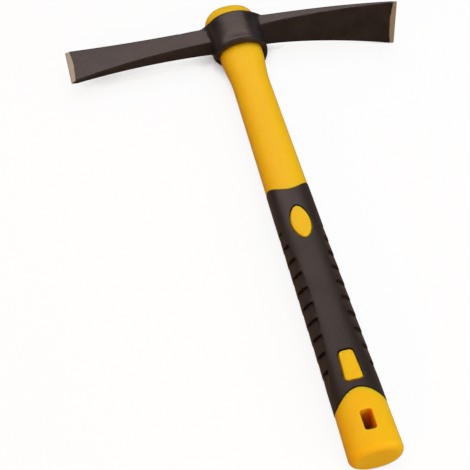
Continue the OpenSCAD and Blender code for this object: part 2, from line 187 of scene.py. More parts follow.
@dataclass
class SurfaceNet:
    """Draws the skin of a solid that is given by its distance field.

    Attributes:
        distance: Signed distance to the solid, in mm.
        low: Lowest corner of the box that holds it.
        high: Highest corner of that box.
        pitch: Size of the net's cells.
        hidden: Below 0 where the skin lies under another piece and is left out.
        relax_rounds: How often the points are evened out over the surface.
    """

    distance: Distance
    low: Triple
    high: Triple
    pitch: float = 0.5
    hidden: Optional[Distance] = None
    relax_rounds: int = 3

    def skin(self) -> tuple[Array, Array]:
        """Finds the skin.

        Returns:
            Its points, in mm, and its four-sided faces.
        """
        axes = [
            np.arange(low - 2 * self.pitch, high + 3 * self.pitch, self.pitch)
            for low, high in zip(self.low, self.high)
        ]
        values = self.distance(*np.meshgrid(*axes, indexing="ij"))
        inside = values < 0
        cells, index = self._cells(inside)
        points = self._crossings(values, cells) * self.pitch + np.array([axis[0] for axis in axes])
        faces = self._faces(inside, index)
        points = self._settle(points)
        for _ in range(self.relax_rounds):
            points = self._settle(self._relaxed(points, faces))
        if self.hidden:
            buried = self.hidden(*points.T) < 0
            faces = faces[~buried[faces].all(axis=1)]
            used, numbers = np.unique(faces, return_inverse=True)
            points, faces = points[used], numbers.reshape(-1, 4)
        return points, faces

    @staticmethod
    def _cells(inside: Array) -> tuple[Array, Array]:
        """Finds the cells that the skin passes through.

        Args:
            inside: Whether each grid point is inside the solid.

        Returns:
            The cells' places on the grid, and the grid with their numbers.
        """
        count = np.zeros([n - 1 for n in inside.shape], dtype=np.int8)
        for i, j, k in np.ndindex(2, 2, 2):
            count += inside[i:i - 1 or None, j:j - 1 or None, k:k - 1 or None]
        crossed = (count > 0) & (count < 8)
        index = np.full(count.shape, -1)
        index[crossed] = np.arange(crossed.sum())
        return np.argwhere(crossed), index

    @staticmethod
    def _crossings(values: Array, cells: Array) -> Array:
        """Finds each cell's point: the middle of the places where its edges meet the skin.

        Args:
            values: Signed distances at the grid points.
            cells: Places of the cells on the grid.

        Returns:
            The points, in cells.
        """
        total = np.zeros(cells.shape)
        hits = np.zeros((len(cells), 1))
        for axis in range(3):
            step = np.eye(3, dtype=int)[axis]
            for corner in np.ndindex(2, 2, 2):
                if corner[axis]:
                    continue
                start = cells + np.array(corner)
                first = values[tuple(start.T)]
                last = values[tuple((start + step).T)]
                crossed = (first < 0) != (last < 0)
                share = first / np.where(crossed, first - last, 1)
                place = np.array(corner) + share[:, None] * step
                total += np.where(crossed[:, None], place, 0)
                hits += crossed[:, None]
        return cells + total / hits

    @staticmethod
    def _faces(inside: Array, index: Array) -> Array:
        """Finds one face round each grid edge that the skin cuts.

        Args:
            inside: Whether each grid point is inside the solid.
            index: The grid with the cells' numbers.

        Returns:
            The faces, facing out.
        """
        found = []
        for axis in range(3):
            step, across, up = (np.eye(3, dtype=int)[(axis + k) % 3] for k in range(3))
            first = np.moveaxis(inside, axis, 0)
            edges = np.argwhere(np.moveaxis(first[:-1] != first[1:], 0, axis))
            corners = [edges - across - up, edges - up, edges, edges - across]
            quads = np.stack([index[tuple(c.T)] for c in corners], axis=1)
            faces_up = inside[tuple(edges.T)]
            found.append(np.where(faces_up[:, None], quads, quads[:, ::-1]))
        return np.concatenate(found)

    def _settle(self, points: Array, rounds: int = 2) -> Array:
        """Moves points onto the solid's true surface.

        Args:
            points: Points near the surface, in mm.
            rounds: How often they are moved.

        Returns:
            The moved points.
        """
        reach = self.pitch / 20  # half of the step that finds the slope
        least = 0.1  # keeps the moves short where the field is flat
        for _ in range(rounds):
            value = self.distance(*points.T)
            slopes = []
            for axis in range(3):
                step = reach * np.eye(3)[axis]
                slopes.append(self.distance(*(points + step).T) - self.distance(*(points - step).T))
            slope = np.stack(slopes, axis=1) / (2 * reach)
            move = slope * (value / np.maximum((slope * slope).sum(axis=1), least))[:, None]
            length = np.linalg.norm(move, axis=1, keepdims=True)
            points = points - move * np.minimum(1, self.pitch / np.maximum(length, TINY))
        return points

    @staticmethod
    def _relaxed(points: Array, faces: Array) -> Array:
        """Moves each point half of the way to the middle of its neighbours.

        Args:
            points: Points of the skin.
            faces: Its faces.

        Returns:
            The moved points.
        """
        edges = np.concatenate([faces[:, [k, (k + 1) % 4]] for k in range(4)])
        count = np.maximum(np.bincount(edges[:, 0], minlength=len(points)), 1)
        middle = [np.bincount(edges[:, 0], points[edges[:, 1], k], len(points)) / count for k in range(3)]
        return lerp(points, np.stack(middle, axis=1), 0.5)


def add_piece(name: str, net: SurfaceNet, material: Material, node: str) -> bpy.types.Object:
    """Adds a piece that stands for a CAD node and moves with the tool.

    Args:
        name: Name of the piece.
        net: Net that draws its skin.
        material: Finish of the whole piece.
        node: CAD node that the piece replaces.

    Returns:
        The new object.
    """
    points, faces = net.skin()
    mesh = bpy.data.meshes.new(name)
    mesh.from_pydata((points * MM).tolist(), [], faces.tolist())
    mesh.shade_smooth()
    mesh.materials.append(material)
    piece = bpy.data.objects.new(name, mesh)
    bpy.context.collection.objects.link(piece)
    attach(piece, "root")
    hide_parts(node)
    LOG.info("%s: %d points", name, len(points))
    return piece


def new_material(name: str) -> Material:
    """Starts a material.

    Args:
        name: Name of the material.

    Returns:
        The material, with an empty node tree.
    """
    material = bpy.data.materials.new(name)
    material.use_nodes = True
    material.node_tree.nodes.clear()
    return material


@dataclass(frozen=True)
class ForgedPaintFinish:
    """Drop-forged steel, dipped in dark paint, with both edges ground bare.

    The dip leaves a satin brown-black skin that pools and thins in soft waves over the forged
    surface. It is rubbed lighter along the corners, and each edge is a dull pale strip with
    fine lines from the grinding belt and a slightly wavy border.
    """

    paint: str = "#191A1E"
    paint_thin: str = "#2A2B31"
    worn: str = "#4A3E38"
    steel: str = "#AFACA5"
    steel_line: str = "#96938C"
    paint_roughness: Pair = (0.24, 0.38)
    gloss: float = 0.37
    gloss_tint: str = "#FFD9CA"
    steel_roughness: float = 0.5
    # The strips have dulled, so that only a share of them answers the light as clean metal.
    metal_share: float = 0.25
    forged_mm: float = 14.0
    forged_depth_mm: float = 0.35
    mottle_range: Pair = (0.3, 0.7)
    corner_range: Pair = (0.53, 0.62)
    # On the real tool the skin of the paint and the belt lines are about 0.2 mm fine. That is
    # too fine to show, so both are drawn coarser.
    skin_mm: float = 1.6
    belt_mm: float = 0.9
    belt_stretch: float = 0.12
    relief_depth_mm: float = 0.08
    bump_strength: float = 0.5
    cutter_edge_mm: Triple = (-126.0, 358.4, 0.0)
    adze_edge_mm: Triple = (118.6, 337.6, 0.0)
    cutter_half_mm: float = 15.9
    adze_half_mm: float = 21.1
    # Widths of a ground strip at its middle and at its ends.
    strip_mm: Pair = (4.2, 3.0)
    border_wave_mm: Pair = (-0.35, 0.35)
    border_blur_mm: Pair = (-0.1, 0.2)
    flank_range: Pair = (0.85, 0.6)

    def material(self) -> Material:
        """Makes the finish.

        Returns:
            The new material.
        """
        material = new_material("painted_forged_steel")
        tree = material.node_tree
        place = add_node(tree, "TexCoord", {})["Object"]
        forged = add_node(
            tree, "TexNoise",
            {"Vector": place, "Scale": per_metre(self.forged_mm), "Detail": 6.0, "Roughness": 0.62},
        )["Fac"]
        skin = add_node(
            tree, "TexNoise",
            {"Vector": place, "Scale": per_metre(self.skin_mm), "Detail": 2.0, "Roughness": 0.5},
        )["Fac"]
        ground, lines = self._ground(tree, place, forged)
        mottle = add_node(tree, "MapRange", {"Value": forged, **span("From", self.mottle_range)})[0]
        pooled = add_node(
            tree, "Mix", {"Factor": mottle, 6: linear(self.paint), 7: linear(self.paint_thin)},
            data_type="RGBA",
        )[2]
        corner = add_node(
            tree, "MapRange",
            {"Value": add_node(tree, "NewGeometry", {})["Pointiness"],
             **span("From", self.corner_range)},
        )[0]
        rubbed = add_node(tree, "Math", {0: corner, 1: forged}, operation="MULTIPLY")[0]
        coat = add_node(
            tree, "Mix", {"Factor": rubbed, 6: pooled, 7: linear(self.worn)}, data_type="RGBA",
        )[2]
        bare = add_node(
            tree, "Mix", {"Factor": lines, 6: linear(self.steel), 7: linear(self.steel_line)},
            data_type="RGBA",
        )[2]
        colour = add_node(tree, "Mix", {"Factor": ground, 6: coat, 7: bare}, data_type="RGBA")[2]
        satin = add_node(tree, "MapRange", {"Value": mottle, **span("To", self.paint_roughness)})[0]
        roughness = add_node(
            tree, "Mix", {"Factor": ground, 2: satin, 3: self.steel_roughness}, data_type="FLOAT",
        )[0]
        metal = add_node(tree, "Math", {0: ground, 1: self.metal_share}, operation="MULTIPLY")[0]
        waves = add_node(
            tree, "Bump",
            {"Height": forged, "Strength": self.bump_strength, "Distance": self.forged_depth_mm * MM},
        )["Normal"]
        relief = add_node(tree, "Mix", {"Factor": ground, 2: skin, 3: lines}, data_type="FLOAT")[0]
        normal = add_node(
            tree, "Bump",
            {"Height": relief, "Strength": self.bump_strength, "Distance": self.relief_depth_mm * MM,
             "Normal": waves},
        )["Normal"]
        shader = add_node(
            tree, "BsdfPrincipled",
            {"Base Color": colour, "Roughness": roughness, "Metallic": metal, "Normal": normal,
             "Specular IOR Level": self.gloss, "Specular Tint": linear(self.gloss_tint)},
        )
        add_node(tree, "OutputMaterial", {"Surface": shader[0]})
        return material

    def _strip(
        self, tree: Tree, place: Socket, sway: Socket, edge_mm: Triple, across: str, half_mm: float,
    ) -> Socket:
        """Masks the strip along one edge, widest at its middle.

        Args:
            tree: Node tree of the material.
            place: Places on the head.
            sway: Waves of the strip's border, in metres.
            edge_mm: Middle of the edge.
            across: Axis along the edge.
            half_mm: Half of the edge's length.

        Returns:
            The mask, 1 on the strip.
        """
        from_edge = add_node(
            tree, "VectorMath", {0: place, 1: tuple(v * MM for v in edge_mm)}, operation="SUBTRACT",
        )[0]
        parts = add_node(tree, "SeparateXYZ", {0: from_edge})
        depth = add_node(tree, "Math", {0: parts["X"]}, operation="ABSOLUTE")[0]
        share = add_node(tree, "Math", {0: parts[across], 1: half_mm * MM}, operation="DIVIDE")[0]
        bent = add_node(tree, "Math", {0: share, 1: share}, operation="MULTIPLY")[0]
        border = add_node(tree, "MapRange", {"Value": bent, **span("To", self.strip_mm, MM)})[0]
        swayed = add_node(tree, "Math", {0: border, 1: sway}, operation="ADD")[0]
        over = add_node(tree, "Math", {0: swayed, 1: depth}, operation="SUBTRACT")[0]
        return add_node(tree, "MapRange", {"Value": over, **span("From", self.border_blur_mm, MM)})[0]

    def _ground(self, tree: Tree, place: Socket, wave: Socket) -> tuple[Socket, Socket]:
        """Masks the ground strips and draws the grinding lines.

        Args:
            tree: Node tree of the material.
            place: Places on the head.
            wave: Slow noise that bends the border of the strips.

        Returns:
            The mask, 1 on ground steel, and the lines.
        """
        sway = add_node(
            tree, "MapRange",
            {"Value": wave, **span("From", self.mottle_range), **span("To", self.border_wave_mm, MM)},
        )[0]
        facing = add_node(tree, "SeparateXYZ", {0: add_node(tree, "NewGeometry", {})["Normal"]})
        cutter = self._strip(tree, place, sway, self.cutter_edge_mm, "Y", self.cutter_half_mm)
        adze = self._strip(tree, place, sway, self.adze_edge_mm, "Z", self.adze_half_mm)
        masks = []
        for strip, flank in ((cutter, "Y"), (adze, "Z")):
            turned = add_node(tree, "Math", {0: facing[flank]}, operation="ABSOLUTE")[0]
            front = add_node(tree, "MapRange", {"Value": turned, **span("From", self.flank_range)})[0]
            masks.append(add_node(tree, "Math", {0: strip, 1: front}, operation="MULTIPLY")[0])
        ground = add_node(tree, "Math", {0: masks[0], 1: masks[1]}, operation="MAXIMUM")[0]
        stretched = add_node(tree, "Mapping", {"Vector": place, "Scale": (self.belt_stretch, 1.0, 1.0)})[0]
        lines = add_node(
            tree, "TexNoise", {"Vector": stretched, "Scale": per_metre(self.belt_mm), "Detail": 2.0},
        )["Fac"]
        return ground, lines


@dataclass(frozen=True)
class MouldedPlasticFinish:
    """Polypropylene, moulded in polished steel with a self colour.

    It is evenly yellow right through, so shaded sides turn a deeper orange, and the polished
    mould gives a soft gloss with faint flow marks and a few fine scuffs. The walls of the hang
    slot are painted a deep orange-red, a painted shade for the light that reaches them through the plastic.
    """

    name: str = "moulded_polypropylene"
    colour: str = "#E8C827"
    deep: str = "#E4C01F"
    # Painted shade colour for the walls of the hang slot.
    painted_slot_shade_colour: str = "#FF6404"
    roughness: Pair = (0.32, 0.46)
    ior: float = 1.49
    gloss: float = 0.08
    flow_mm: float = 22.0
    # The skin is that of a polished mould. It is too fine to show, so it is drawn coarser.
    skin_mm: float = 1.6
    skin_depth_mm: float = 0.06
    skin_strength: float = 0.3
    scuff_mm: float = 5.0
    scuff_stretch: float = 0.25
    scuff_range: Pair = (0.35, 0.75)
    # Light goes some way into the plastic, and red goes furthest.
    cloud_share: float = 0.75
    cloud_reach: Triple = (1.0, 0.35, 0.05)
    cloud_mm: float = 8.0
    # Where the painted orange-red shade of the slot's walls lies.
    slot_middle_mm: Triple = (0.0, 20.5, 0.0)
    slot_half_mm: Pair = (3.9, 7.1)
    slot_turn: float = 0.5
    slot_fade: Pair = (1.0, 0.8)

    def material(self) -> Material:
        """Makes the finish.

        Returns:
            The new material.
        """
        material = new_material(self.name)
        tree = material.node_tree
        place = add_node(tree, "TexCoord", {})["Object"]
        flow = add_node(
            tree, "TexNoise",
            {"Vector": place, "Scale": per_metre(self.flow_mm), "Detail": 2.0, "Distortion": 0.6},
        )["Fac"]
        skin = add_node(
            tree, "TexNoise", {"Vector": place, "Scale": per_metre(self.skin_mm), "Detail": 2.0},
        )["Fac"]
        stretched = add_node(tree, "Mapping", {"Vector": place, "Scale": (1.0, self.scuff_stretch, 1.0)})[0]
        scuff = add_node(
            tree, "TexNoise",
            {"Vector": stretched, "Scale": per_metre(self.scuff_mm), "Detail": 6.0, "Roughness": 0.7},
        )["Fac"]
        colour = add_node(
            tree, "Mix", {"Factor": flow, 6: linear(self.colour), 7: linear(self.deep)}, data_type="RGBA",
        )[2]
        # Painted shade: the walls of the hang slot are coloured a deep orange-red.
        colour = add_node(
            tree, "Mix",
            {"Factor": self._painted_slot_shade(tree, place), 6: colour, 7: linear(self.painted_slot_shade_colour)}, data_type="RGBA",
        )[2]
        roughness = add_node(
            tree, "MapRange",
            {"Value": scuff, **span("From", self.scuff_range), **span("To", self.roughness)},
        )[0]
        normal = add_node(
            tree, "Bump",
            {"Height": skin, "Strength": self.skin_strength, "Distance": self.skin_depth_mm * MM},
        )["Normal"]
        shader = add_node(
            tree, "BsdfPrincipled",
            {"Base Color": colour, "Roughness": roughness, "Normal": normal, "IOR": self.ior,
             "Specular IOR Level": self.gloss, "Subsurface Weight": self.cloud_share,
             "Subsurface Radius": self.cloud_reach, "Subsurface Scale": self.cloud_mm * MM},
        )
        add_node(tree, "OutputMaterial", {"Surface": shader[0]})
        return material

    def _painted_slot_shade(self, tree: Tree, place: Socket) -> Socket:
        """Masks the walls of the hang slot for a painted orange-red shade, which stands for the light that
        has come through the plastic.

        Args:
            tree: Node tree of the material.
            place: Places on the piece.

        Returns:
            The mask, 1 on the walls.
        """
        middle = tuple(v * MM for v in self.slot_middle_mm)
        offset = add_node(tree, "VectorMath", {0: place, 1: middle}, operation="SUBTRACT")[0]
        spot = add_node(tree, "SeparateXYZ", {0: offset})
        facing = add_node(tree, "SeparateXYZ", {0: add_node(tree, "NewGeometry", {})["Normal"]})
        limits = (
            (spot["X"], self.slot_half_mm[0] * MM),
            (spot["Y"], self.slot_half_mm[1] * MM),
            (facing["Z"], self.slot_turn),
        )
        masks = []
        for value, limit in limits:
            size = add_node(tree, "Math", {0: value}, operation="ABSOLUTE")[0]
            masks.append(add_node(
                tree, "MapRange", {"Value": size, **span("From", self.slot_fade, limit)},
            )[0])
        within = add_node(tree, "Math", {0: masks[0], 1: masks[1]}, operation="MULTIPLY")[0]
        return add_node(tree, "Math", {0: within, 1: masks[2]}, operation="MULTIPLY")[0]


@dataclass(frozen=True)
class MouldedRubberFinish:
    """Thermoplastic rubber, moulded over the jacket in a blasted mould.

    It is a warm matt black. The blasted mould leaves a fine even grain that spreads the
    highlights, and handling wears it a little smoother in patches. The feet of the finger steps
    and the risers that face the butt get a painted near-black shade.
    """

    colour: str = "#1D1A1B"
    dusty: str = "#252223"
    # Near-black painted shade for the feet of the finger steps and the risers that face the butt.
    painted_step_shade: str = "#080605"
    roughness: Pair = (0.42, 0.56)
    painted_step_shade_roughness: float = 0.95
    ior: float = 1.5
    gloss: float = 0.51
    gloss_tint: str = "#FFE6E0"
    # The grain of a blasted mould is about 0.1 mm. That is too fine to show, so it is drawn coarser.
    grain_mm: float = 1.2
    grain_depth_mm: float = 0.12
    grain_strength: float = 0.6
    patch_mm: float = 24.0
    patch_range: Pair = (0.3, 0.7)
    # Ranges of the painted shade: concave feet of the steps, and faces turned towards the butt.
    foot_range: Pair = (0.49, 0.43)
    riser_range: Pair = (-0.2, -0.5)

    def material(self) -> Material:
        """Makes the finish.

        Returns:
            The new material.
        """
        material = new_material("moulded_thermoplastic_rubber")
        tree = material.node_tree
        place = add_node(tree, "TexCoord", {})["Object"]
        patch = add_node(
            tree, "TexNoise", {"Vector": place, "Scale": per_metre(self.patch_mm), "Detail": 3.0},
        )["Fac"]
        grain = add_node(
            tree, "TexNoise",
            {"Vector": place, "Scale": per_metre(self.grain_mm), "Detail": 2.0, "Roughness": 0.6},
        )["Fac"]
        colour = add_node(
            tree, "Mix", {"Factor": patch, 6: linear(self.colour), 7: linear(self.dusty)}, data_type="RGBA",
        )[2]
        # Painted shade: the concave feet of the steps and the faces turned towards the butt get a
        # near-black, rough colour.
        shape = add_node(tree, "NewGeometry", {})
        foot = add_node(
            tree, "MapRange", {"Value": shape["Pointiness"], **span("From", self.foot_range)},
        )[0]
        riser = add_node(
            tree, "MapRange",
            {"Value": add_node(tree, "SeparateXYZ", {0: shape["Normal"]})["Y"],
             **span("From", self.riser_range)},
        )[0]
        painted_step_shade_mask = add_node(tree, "Math", {0: foot, 1: riser}, operation="MAXIMUM")[0]
        colour = add_node(
            tree, "Mix", {"Factor": painted_step_shade_mask, 6: colour, 7: linear(self.painted_step_shade)}, data_type="RGBA",
        )[2]
        roughness = add_node(
            tree, "MapRange",
            {"Value": patch, **span("From", self.patch_range), **span("To", self.roughness)},
        )[0]
        roughness = add_node(
            tree, "Mix", {"Factor": painted_step_shade_mask, 2: roughness, 3: self.painted_step_shade_roughness}, data_type="FLOAT",
        )[0]
        normal = add_node(
            tree, "Bump",
            {"Height": grain, "Strength": self.grain_strength, "Distance": self.grain_depth_mm * MM},
        )["Normal"]
        shader = add_node(
            tree, "BsdfPrincipled",
            {"Base Color": colour, "Roughness": roughness, "Normal": normal, "IOR": self.ior,
             "Specular IOR Level": self.gloss, "Specular Tint": linear(self.gloss_tint)},
        )
        add_node(tree, "OutputMaterial", {"Surface": shader[0]})
        return material


@dataclass(frozen=True)
class CastResinFinish:
    """Amber resin or pultruded fibreglass, seen only where a piece is taken off.

    Both are cloudy and streaked along the handle by their fibres and filler.
    """

    name: str
    colour: str
    streak: str
    roughness: Pair = (0.35, 0.55)
    ior: float = 1.52
    # Glass fibres are about 0.02 mm thick. They are drawn as coarse bundles, so that they show.
    fibre_mm: float = 0.8
    fibre_stretch: float = 0.04
    fibre_depth_mm: float = 0.05
    fibre_strength: float = 0.3

    def material(self) -> Material:
        """Makes the finish.

        Returns:
            The new material.
        """
        material = new_material(self.name)
        tree = material.node_tree
        place = add_node(tree, "TexCoord", {})["Object"]
        stretched = add_node(tree, "Mapping", {"Vector": place, "Scale": (1.0, self.fibre_stretch, 1.0)})[0]
        fibre = add_node(
            tree, "TexNoise", {"Vector": stretched, "Scale": per_metre(self.fibre_mm), "Detail": 3.0},
        )["Fac"]
        colour = add_node(
            tree, "Mix", {"Factor": fibre, 6: linear(self.colour), 7: linear(self.streak)},
            data_type="RGBA",
        )[2]
        roughness = add_node(tree, "MapRange", {"Value": fibre, **span("To", self.roughness)})[0]
        normal = add_node(
            tree, "Bump",
            {"Height": fibre, "Strength": self.fibre_strength, "Distance": self.fibre_depth_mm * MM},
        )["Normal"]
        shader = add_node(
            tree, "BsdfPrincipled",
            {"Base Color": colour, "Roughness": roughness, "Normal": normal, "IOR": self.ior},
        )
        add_node(tree, "OutputMaterial", {"Surface": shader[0]})
        return material


@dataclass
class HandleForm:
    """Outside of the handle, which every other piece is fitted to. Sizes in mm."""

    overall: float = 380.0
    butt_w: float = 34.0
    grip_w: float = 32.2
    neck_w: float = 27.1
    mouth_w: float = 31.6
    thickness_share: float = 0.815
    butt_flare_l: float = 45.0
    neck_flare_l: float = 33.0
    collar_low: float = 335.6
    collar_high: float = 365.2
    eye_draft: float = 1.0
    squareness: float = 2.2
    butt_flare_power: float = 1.3
    mouth_flare_power: float = 1.25
    fit_gap: float = 0.05
    bond_t: float = 0.8

    def half_w(self, y: Array) -> Array:
        """Finds half of the handle's width.

        Args:
            y: Places along the handle, in mm.

        Returns:
            The half widths.
        """
        neck = self.collar_low - self.neck_flare_l
        flare = np.clip((self.butt_flare_l - y) / self.butt_flare_l, 0, 1) ** self.butt_flare_power
        along = np.clip((y - self.butt_flare_l) / (neck - self.butt_flare_l), 0, 1)
        body = lerp(self.grip_w, self.neck_w, along)
        mouth = smooth((y - neck) / self.neck_flare_l) ** self.mouth_flare_power
        draft = self.eye_draft * np.maximum(y - self.collar_low, 0) / (self.collar_high - self.collar_low)
        width = body + (self.butt_w - self.grip_w) * flare + (self.mouth_w - self.neck_w) * mouth - draft
        return width / 2

    def distance(self, x: Array, y: Array, z: Array, grow: Setting = 0.0) -> Array:
        """Distance from the handle's outside.

        Args:
            x: Places across the handle.
            y: Places along the handle.
            z: Places through the handle.
            grow: How far the surface is moved out.

        Returns:
            Signed distances, below 0 inside.
        """
        half = self.half_w(y)
        return oval_distance(x, z, half + grow, half * self.thickness_share + grow, self.squareness)

    def from_face(self, x: Array, y: Array, z: Array) -> Array:
        """Finds the turn of points from the nearest broad face.

        Args:
            x, y, z: Places across, along and through the tool, in mm.

        Returns:
            Angles from 0 to 90 degrees.
        """
        half = self.half_w(y)
        across = (np.abs(x) / half) ** (self.squareness / 2)
        through = (np.abs(z) / (half * self.thickness_share)) ** (self.squareness / 2)
        return np.degrees(np.arctan2(across, through + TINY))

    @property
    def eye_gap(self) -> float:
        """Room between the handle and the steel round it, filled with resin."""
        return self.bond_t + self.fit_gap


@dataclass
class Grip:
    """Soft grip with a row of finger steps down each side, and the islands it leaves. Sizes in mm."""

    handle: HandleForm
    start: float = 34.0
    end: float = 204.5
    arch: float = 8.1
    dip: float = 6.7
    edge_turn: float = 76.0
    thickness: float = 2.0
    proud: float = 0.25
    edge_round: float = 0.6
    step_count: int = 10
    step_low_margin: float = 6.3
    step_high_margin: float = 35.6
    step_depth: float = 1.6
    step_rise: float = 0.8
    step_hollow: float = 1.5
    step_reach: float = 60.0
    step_fade: float = 12.0
    step_ridge: float = 5.0
    step_ridge_fade: float = 20.0
    step_ridge_share: float = 0.15
    oval_drop: float = 35.0
    oval_l: float = 25.8
    oval_w: float = 12.6
    oval_power: float = 1.85
    taper_rise: float = 5.8
    taper_l: float = 20.4
    taper_w_low: float = 11.2
    taper_w_high: float = 8.8
    taper_round: float = 2.2
    island_proud: float = 0.3
    island_round: float = 0.9
    window_gap: float = 0.7

    def edges(self, x: Array, y: Array, z: Array) -> tuple[Array, Array]:
        """Returns how far each point is below the grip's lower edge and above its upper edge."""
        turned = smooth(self.handle.from_face(x, y, z) / self.edge_turn)
        return self.start + self.arch * (1 - turned) - y, y - self.end + self.dip * (1 - turned)

    def islands(self, x: Array, y: Array) -> Array:
        """Distance from the outlines of the oval and the tapered island on a broad face.

        Args:
            x: Places across the handle.
            y: Places along the handle.

        Returns:
            Signed distances, below 0 inside.
        """
        from_oval = y - self.end + self.oval_drop
        oval = oval_distance(x, from_oval, self.oval_w / 2, self.oval_l / 2, self.oval_power)
        low = self.start + self.arch + self.taper_rise
        rise = y - low - self.taper_l / 2
        half = lerp(self.taper_w_low, self.taper_w_high, np.clip((y - low) / self.taper_l, 0, 1)) / 2
        taper = bar_distance(x, rise, half, np.full_like(half, self.taper_l / 2), self.taper_round)
        return np.minimum(oval, taper)

    def step_depths(self, x: Array, y: Array, z: Array) -> Array:
        """Finds how deep the finger steps sink: a slow fall, then a steep rise.

        Args:
            x, y, z: Places across, along and through the tool, in mm.

        Returns:
            The depths.
        """
        low = self.start + self.arch + self.step_low_margin
        high = self.end - self.step_high_margin
        pitch = (high - low) / self.step_count
        along = np.where((y > low) & (y < high), np.mod(y - low, pitch), 0)
        fall = (along / (pitch - self.step_rise)) ** self.step_hollow
        rise = smooth((pitch - along) / self.step_rise)
        half_field = (high - low + pitch) / 2
        lens = np.sqrt(np.maximum(0, 1 - ((y - (low + high) / 2) / half_field) ** 2))
        from_side = 90 - self.handle.from_face(x, y, z)
        mask = smooth((self.step_reach * lens - from_side) / self.step_fade)
        ridge = smooth((from_side - self.step_ridge) / self.step_ridge_fade)
        mask = mask * lerp(self.step_ridge_share, 1, ridge)
        return self.step_depth * np.minimum(fall, 1) * rise * mask

    def inside(self, x: Array, y: Array, z: Array) -> Array:
        """Returns the distance from the grip's inner wall, below 0 under it."""
        return self.handle.distance(x, y, z, -self.thickness)

    def distance(self, x: Array, y: Array, z: Array) -> Array:
        """Distance from the grip.

        Args:
            x, y, z: Places across, along and through the tool, in mm.

        Returns:
            Signed distances, below 0 inside.
        """
        below, above = self.edges(x, y, z)
        outside = self.handle.distance(x, y, z, self.proud) + self.step_depths(x, y, z)
        body = round_meet(outside, np.maximum(below, above), self.edge_round)
        body = np.maximum(body, -self.inside(x, y, z))
        return round_meet(body, self.window_gap - self.islands(x, y), self.edge_round / 2)

    def buried(self, x: Array, y: Array, z: Array) -> Array:
        """Returns values below 0 on the wall that lies on the jacket."""
        return self.inside(x, y, z) - self.handle.fit_gap

    def build(self, material: Material) -> bpy.types.Object:
        """Builds the grip and dresses it.

        Args:
            material: Its finish.

        Returns:
            The piece.
        """
        half = self.handle.butt_w / 2
        low, high = (-half, self.start, -half), (half, self.end, half)
        net = SurfaceNet(self.distance, low, high, hidden=self.buried)
        return add_piece("stepped_grip", net, material, "grip_sleeve")


@dataclass
class Jacket:
    """Moulded jacket of the handle, with its hang slot and raised islands. Sizes in mm."""

    handle: HandleForm
    grip: Grip
    butt_round: float = 4.5
    slot_w: float = 7.4
    slot_l: float = 13.6
    slot_wall: float = 13.7
    slot_round: float = 1.9
    rim_round: float = 0.7
    tenon_end: float = 361.2

    def slot_distance(self, x: Array, y: Array) -> Array:
        """Returns the distance from the outline of the hang slot, below 0 inside."""
        middle = self.slot_wall + self.slot_l / 2
        return bar_distance(x, y - middle, self.slot_w / 2, self.slot_l / 2, self.slot_round)

    def distance(self, x: Array, y: Array, z: Array) -> Array:
        """Distance from the jacket.

        Args:
            x, y, z: Places across, along and through the tool, in mm.

        Returns:
            Signed distances, below 0 inside.
        """
        body = self.handle.distance(x, y, z)
        below, above = self.grip.edges(x, y, z)
        seat = np.maximum(np.maximum(below, above), -self.grip.inside(x, y, z))
        body = np.maximum(body, -seat)
        rise = self.grip.proud + self.grip.island_proud
        raised = self.handle.distance(x, y, z, rise)
        island = round_meet(raised, self.grip.islands(x, y), self.grip.island_round)
        body = np.minimum(body, island)
        body = round_meet(body, -y, self.butt_round)
        body = np.maximum(body, y - self.tenon_end)
        return round_meet(body, -self.slot_distance(x, y), self.rim_round)

    def buried(self, x: Array, y: Array, z: Array) -> Array:
        """Marks the seat under the grip and the tenon in the eye.

        Args:
            x, y, z: Places across, along and through the tool, in mm.

        Returns:
            Values below 0 on them.
        """
        under_grip = np.maximum(self.grip.inside(x, y, z) - self.handle.fit_gap, -self.slot_distance(x, y))
        below, above = self.grip.edges(x, y, z)
        margin = 2 * self.grip.thickness
        under_grip = np.maximum(under_grip, np.maximum(below, above) + margin)
        under_grip = np.maximum(under_grip, self.grip.window_gap - self.grip.islands(x, y))
        in_eye = self.handle.collar_low + 2 * margin - y
        return np.minimum(under_grip, in_eye)

    def build(self, material: Material) -> bpy.types.Object:
        """Builds the jacket and dresses it.

        Args:
            material: Its finish.

        Returns:
            The piece.
        """
        half = self.handle.butt_w / 2
        low, high = (-half, 0, -half), (half, self.tenon_end, half)
        net = SurfaceNet(self.distance, low, high, hidden=self.buried)
        return add_piece("handle_jacket_skin", net, material, "handle_jacket")


@dataclass
class EyeCap:
    """Domed cap that closes the eye above the head. Sizes in mm."""

    handle: HandleForm
    overlap: float = 3.3
    shift: float = -0.8
    squareness: float = 2.2
    top_round: float = 12.5
    foot_round: float = 1.2

    def distance(self, x: Array, y: Array, z: Array) -> Array:
        """Distance from the cap.

        Args:
            x, y, z: Places across, along and through the tool, in mm.

        Returns:
            Signed distances, below 0 inside.
        """
        handle = self.handle
        grow = handle.eye_gap + self.overlap
        half = handle.half_w(np.array(handle.collar_high))
        half_t = half * handle.thickness_share + grow
        side = oval_distance(x - self.shift, z, half + grow, half_t, self.squareness)
        dome = round_meet(side, y - handle.overall, self.top_round)
        return round_meet(dome, handle.collar_high + handle.fit_gap - y, self.foot_round)

    def build(self, material: Material) -> bpy.types.Object:
        """Builds the cap and dresses it.

        Args:
            material: Its finish.

        Returns:
            The piece.
        """
        half = self.handle.mouth_w / 2 + self.handle.eye_gap + self.overlap - self.shift
        low = (-half, self.handle.collar_high, -half)
        net = SurfaceNet(self.distance, low, (half, self.handle.overall, half))
        return add_piece("domed_eye_cap", net, material, "eye_cap")


